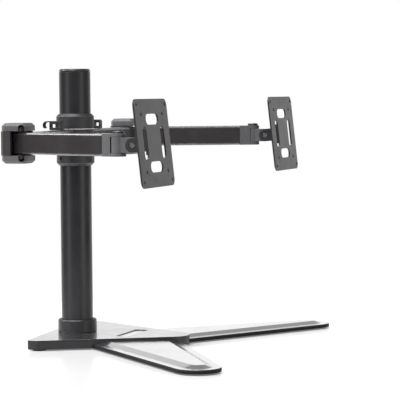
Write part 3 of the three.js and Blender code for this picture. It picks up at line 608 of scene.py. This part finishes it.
class STAND_OT_stage(StandOperator, bpy.types.Operator):
    """Make the floor, the light and the camera"""
    bl_idname = "stand.make_stage"
    bl_label = "Floor, light and camera"

    def make(self, edges, scene):
        stage = scene.stand_stage
        self.make_floor(stage)
        self.make_world(stage, scene)
        for name, spread, direction in SUNS:
            self.make_light(name, getattr(stage, name), math.radians(spread), Vector(direction))
        self.make_camera(stage, scene)
        scene.view_settings.view_transform = "Standard"

    def make_floor(self, stage):
        bm = bmesh.new()
        bmesh.ops.create_circle(bm, cap_ends=True, radius=stage.floor, segments=64)
        mesh = bpy.data.meshes.new("floor")
        bm.to_mesh(mesh)
        bm.free()
        floor = bpy.data.objects.new("floor", mesh)
        bpy.context.scene.collection.objects.link(floor)
        material, net, shader, position = new_material("pale_floor")
        cloud = net.math("MULTIPLY", net.noise(position, 1.5, 2.0), 0.1)
        plain, lighter = with_alpha(stage.floor_tint), with_alpha(stage.floor_tint, 1.04)
        net.tree.links.new(net.blend(cloud, plain, lighter), shader.inputs["Base Color"])
        shader.inputs["Roughness"].default_value = FLOOR_GLOSS
        shader.inputs["Emission Color"].default_value = WHITE
        shader.inputs["Emission Strength"].default_value = stage.floor_glow
        mesh.materials.append(material)

    def make_world(self, stage, scene):
        """White walls that darken overhead; towards the camera's side, at eye level and below, a
        dim room with upright soft boxes. Seen directly, all of it is plain white."""
        world = bpy.data.worlds.new("studio")
        world.use_nodes = True
        net = Net(world.node_tree)
        direction = net.add("ShaderNodeTexCoord").outputs["Generated"]
        up = net.add("ShaderNodeSeparateXYZ", {0: direction}).outputs["Z"]
        inputs = {0: direction, 1: Vector((math.sin(stage.yaw), math.cos(stage.yaw), 0))}
        facing = net.add("ShaderNodeVectorMath", inputs, operation="DOT_PRODUCT")
        around = facing.outputs["Value"]  # -1 towards the camera, 1 away from it
        wall = self.tones(net, up, WALL)
        room = self.tones(net, net.spread(around, -1, 1), (
            (0.0, 0.10), (0.10, 0.12), (0.16, stage.boxes), (0.27, stage.boxes), (0.34, 0.10),
            (0.80, 0.08), (0.90, 0.90), (1.0, 1.0)))
        walled = net.math("MAXIMUM", net.spread(around, 0.2, 0.8), net.spread(up, 0.09, 0.20))
        tone = net.blend(walled, room, wall)
        seen = net.add("ShaderNodeLightPath").outputs["Is Camera Ray"]
        colour = net.blend(seen, tone, WHITE)
        world.node_tree.links.new(colour, world.node_tree.nodes["Background"].inputs["Color"])
        scene.world = world

    def tones(self, net, value, stops):
        ramp = net.add("ShaderNodeValToRGB", {0: value})
        while len(ramp.color_ramp.elements) < len(stops):
            ramp.color_ramp.elements.new(0.5)
        for element, (place, tone) in zip(ramp.color_ramp.elements, stops):
            element.position = place
            element.color = (tone, tone, tone, 1)
        return ramp.outputs[0]

    def make_light(self, name, strength, angle, direction):
        lamp = bpy.data.lights.new(name, "SUN")
        lamp.energy = strength
        lamp.angle = angle
        light = bpy.data.objects.new(name, lamp)
        light.rotation_euler = direction.to_track_quat("-Z", "Y").to_euler()
        bpy.context.scene.collection.objects.link(light)

    def make_camera(self, stage, scene):
        level = Vector((math.sin(stage.yaw), math.cos(stage.yaw), 0))
        aside = Vector((math.cos(stage.yaw), -math.sin(stage.yaw), 0))
        sight = level * math.cos(stage.pitch) - Z * math.sin(stage.pitch)
        upright = aside.cross(sight)
        right = aside * math.cos(stage.roll) - upright * math.sin(stage.roll)
        lens = bpy.data.cameras.new("camera")
        lens.lens = stage.focal
        lens.clip_end = 100
        camera = bpy.data.objects.new("camera", lens)
        bpy.context.scene.collection.objects.link(camera)
        turn = Matrix((right, right.cross(sight), -sight)).transposed().to_4x4()
        foot_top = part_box("hub_cover")[1].z
        place = POLE_AXIS - level * stage.distance + aside * stage.aside
        place.z = foot_top + stage.height
        camera.matrix_world = Matrix.Translation(place) @ turn
        scene.camera = camera


class STAND_OT_hub(StandOperator, bpy.types.Operator):
    """Make the hub's plate and its bright cover"""
    bl_idname = "stand.make_hub"
    bl_label = "Hub"

    def make(self, edges, scene):
        dressed("hub_plate", MATERIALS["black"], edges.plate)
        bright, black, polished = (MATERIALS[name] for name in ("bright", "black", "polished"))
        dressed_cover("hub_cover", bright, black, polished, edges.cover)


class STAND_OT_legs(StandOperator, bpy.types.Operator):
    """Make the two legs, their covers and the bolts from below"""
    bl_idname = "stand.make_legs"
    bl_label = "Legs"

    def make(self, edges, scene):
        matt, polished = MATERIALS["matt"], MATERIALS["polished"]
        for side in SIDES:
            dressed(f"{side}_leg_bar", matt, edges.plate)
            dressed_cover(
                f"{side}_leg_cover", polished, matt, polished, edges.cover, edges.fold)
            for number in (1, 2):
                node = f"{side}_leg_bolt_{number}"
                socket_screw(node, middle(node), -Z, *HEADS["leg_bolt"], MATERIALS["steel"])


class STAND_OT_feet(StandOperator, bpy.types.Operator):
    """Make the four rubber feet, ribbed underneath"""
    bl_idname = "stand.make_feet"
    bl_label = "Feet"

    def make(self, edges, scene):
        for node in [f"{side}_{place}_foot" for side in SIDES for place in ("hub", "leg")]:
            low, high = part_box(node)
            radius, height = (high.x - low.x) / 2, high.z - low.z
            groove, step = 0.25 * height, radius / 10
            profile = [(0, 0, False)]
            for ring in FOOT_GROOVES:
                profile += [
                    (ring * step, 0, False), (ring * step + step / 3, groove, False),
                    ((ring + 1) * step - step / 3, groove, False), ((ring + 1) * step, 0, False)]
            profile += [
                (radius - groove, 0, False), (radius, groove, False), (radius, height, False),
                (0, height, False)]
            bm = turned(profile, Matrix.Translation((middle(node).x, middle(node).y, low.z)))
            soften(bm, sharp_edges(bm, CREASE), 0.2 * groove, 2)
            finished(bm, f"{node}_piece", node, MATERIALS["rubber"])


class STAND_OT_pole(StandOperator, bpy.types.Operator):
    """Make the pole, what closes and holds it, and its collar"""
    bl_idname = "stand.make_pole"
    bl_label = "Pole"

    def make(self, edges, scene):
        low, high, radius = along("pole_tube", POLE_AXIS, Z)
        bore = radius - POLE_WALL
        profile = [
            (bore, low, False), (radius, low, False), (radius, high, False), (bore, high, False)]
        bm = turned(profile, Matrix.Translation(POLE_AXIS), POLE_ROUND)
        soften(bm, sharp_edges(bm, CREASE), edges.small, 3)
        finished(bm, "pole_tube_piece", "pole_tube", MATERIALS["black"])
        self.make_collar(edges)
        dressed("pole_cap", MATERIALS["plastic"], edges.casting)
        dressed("pole_insert", MATERIALS["steel"], edges.small)
        socket_screw("pole_bolt", POLE_AXIS, -Z, *HEADS["pole_bolt"], MATERIALS["steel"])

    def make_collar(self, edges):
        low, high, radius = along("base_collar", POLE_AXIS, Z)
        bore = along("pole_tube", POLE_AXIS, Z)[2] + PLAY
        slope = 0.5 * MM
        profile = [
            (bore, low, False), (radius - slope, low, False), (radius, low + slope, False),
            (radius, high - 3 * slope, False), (radius - 3 * slope, high, False),
            (bore, high, False)]
        bm = turned(profile, Matrix.Translation(POLE_AXIS), POLE_ROUND)
        soften(bm, sharp_edges(bm, CREASE), edges.small, 4)
        finished(bm, "base_collar_piece", "base_collar", MATERIALS["plastic"])


class STAND_OT_carriage(StandOperator, bpy.types.Operator):
    """Make the two clamp collars, their screws and the washers"""
    bl_idname = "stand.make_carriage"
    bl_label = "Carriage"

    def make(self, edges, scene):
        past_bore = along("pole_tube", POLE_AXIS, Z)[2] + BORE_REACH
        for collar in ("height_collar", "retaining_collar"):
            dressed(collar, MATERIALS["cast"], edges.small, 4, past_bore)
            screw = f"{collar}_screw"
            outward = middle(screw) - POLE_AXIS
            origin = POLE_AXIS + Z * outward.z
            outward.z = 0
            radius = (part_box(screw)[1].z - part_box(screw)[0].z) / 2
            socket_screw(screw, origin, outward.normalized(), 0, radius, MATERIALS["steel"])
        for place in ("low", "middle", "top"):
            dressed(f"washer_{place}", MATERIALS["nylon"], WASHER_EDGE, 2)


class STAND_OT_links(StandOperator, bpy.types.Operator):
    """Make the rings on the pole and the arms' tubes"""
    bl_idname = "stand.make_links"
    bl_label = "Links"

    def make(self, edges, scene):
        for side in SIDES:
            dressed(f"{side}_root_ring", MATERIALS["cast"], edges.small)
            for tube in (f"{side}_inner_tube", f"{side}_outer_tube"):
                dressed_tube(tube, MATERIALS["charcoal"], edges.tube, edges.small)
            dressed(f"{side}_outer_tube_plug", MATERIALS["plastic"], edges.small)


class STAND_OT_elbows(StandOperator, bpy.types.Operator):
    """Make the elbows: yoke, two caps, bolt and nut"""
    bl_idname = "stand.make_elbows"
    bl_label = "Elbows"

    def make(self, edges, scene):
        for side in SIDES:
            dressed(f"{side}_elbow_yoke", MATERIALS["satin"], edges.casting, 4)
            for end in ("top", "bottom"):
                dressed(f"{side}_elbow_cap_{end}", MATERIALS["grey"], edges.casting, 4)
            bolt = f"{side}_elbow_bolt"
            origin = Vector((middle(bolt).x, middle(bolt).y, 0))
            socket_screw(bolt, origin, Z, *HEADS["elbow_bolt"], MATERIALS["steel"])
            dressed(f"{side}_elbow_nut", MATERIALS["steel"], edges.small)


class STAND_OT_clips(StandOperator, bpy.types.Operator):
    """Make the cable clips on the inner links"""
    bl_idname = "stand.make_clips"
    bl_label = "Cable clips"

    def make(self, edges, scene):
        for side in SIDES:
            dressed(f"{side}_cable_clip", MATERIALS["plastic"], edges.small)


class STAND_OT_heads(StandOperator, bpy.types.Operator):
    """Make the forks, swivel blocks and swivel pins"""
    bl_idname = "stand.make_heads"
    bl_label = "Heads"

    def make(self, edges, scene):
        for side in SIDES:
            dressed(f"{side}_head_fork", MATERIALS["grey"], edges.casting)
            dressed(f"{side}_swivel_block", MATERIALS["grey"], edges.casting)
            pin = f"{side}_swivel_pin"
            origin = Vector((middle(pin).x, middle(pin).y, 0))
            socket_screw(pin, origin, Z, *HEADS["swivel_pin"], MATERIALS["steel"])


class STAND_OT_plates(StandOperator, bpy.types.Operator):
    """Make the tilting brackets, their bolts and the display plates"""
    bl_idname = "stand.make_plates"
    bl_label = "Display plates"

    def make(self, edges, scene):
        for side in SIDES:
            dressed(f"{side}_tilt_bracket", MATERIALS["black"], edges.plate)
            bolt = f"{side}_tilt_bolt"
            origin = middle(bolt)
            block = middle(f"{side}_swivel_block")
            axis = X if origin.x > block.x else -X
            origin.x = block.x
            socket_screw(bolt, origin, axis, *HEADS["tilt_bolt"], MATERIALS["steel"])
            dressed(f"{side}_display_plate", MATERIALS["black"], edges.plate)
            dressed(f"{side}_plate_nut", MATERIALS["steel"], edges.small)


class STAND_PT_sidebar(bpy.types.Panel):
    """Lists the stand's pieces in the sidebar"""
    bl_label = "Desk stand"
    bl_space_type = "VIEW_3D"
    bl_region_type = "UI"
    bl_category = "Desk stand"

    def draw(self, context):
        for group_name in GROUP_CLASSES:
            group = getattr(context.scene, group_name)
            box = self.layout.box()
            for name in group.__annotations__:
                box.prop(group, name)
        for operator in OPERATORS:
            self.layout.operator(operator.bl_idname)


GROUP_CLASSES = {"stand_edges": StandEdges, "stand_finish": StandFinish, "stand_stage": StandStage}
OPERATORS = (
    STAND_OT_materials, STAND_OT_stage, STAND_OT_hub, STAND_OT_legs, STAND_OT_feet, STAND_OT_pole,
    STAND_OT_carriage, STAND_OT_links, STAND_OT_elbows, STAND_OT_clips, STAND_OT_heads,
    STAND_OT_plates)


def register():
    for name, group in GROUP_CLASSES.items():
        bpy.utils.register_class(group)
        setattr(bpy.types.Scene, name, PointerProperty(type=group))
    for operator in OPERATORS:
        bpy.utils.register_class(operator)
    bpy.utils.register_class(STAND_PT_sidebar)


def unregister():
    bpy.utils.unregister_class(STAND_PT_sidebar)
    for operator in reversed(OPERATORS):
        bpy.utils.unregister_class(operator)
    for name, group in GROUP_CLASSES.items():
        delattr(bpy.types.Scene, name)
        bpy.utils.unregister_class(group)


def main():
    register()
    for operator in OPERATORS:
        getattr(bpy.ops.stand, operator.bl_idname.split(".")[1])()


if __name__ == "__main__":
    main()
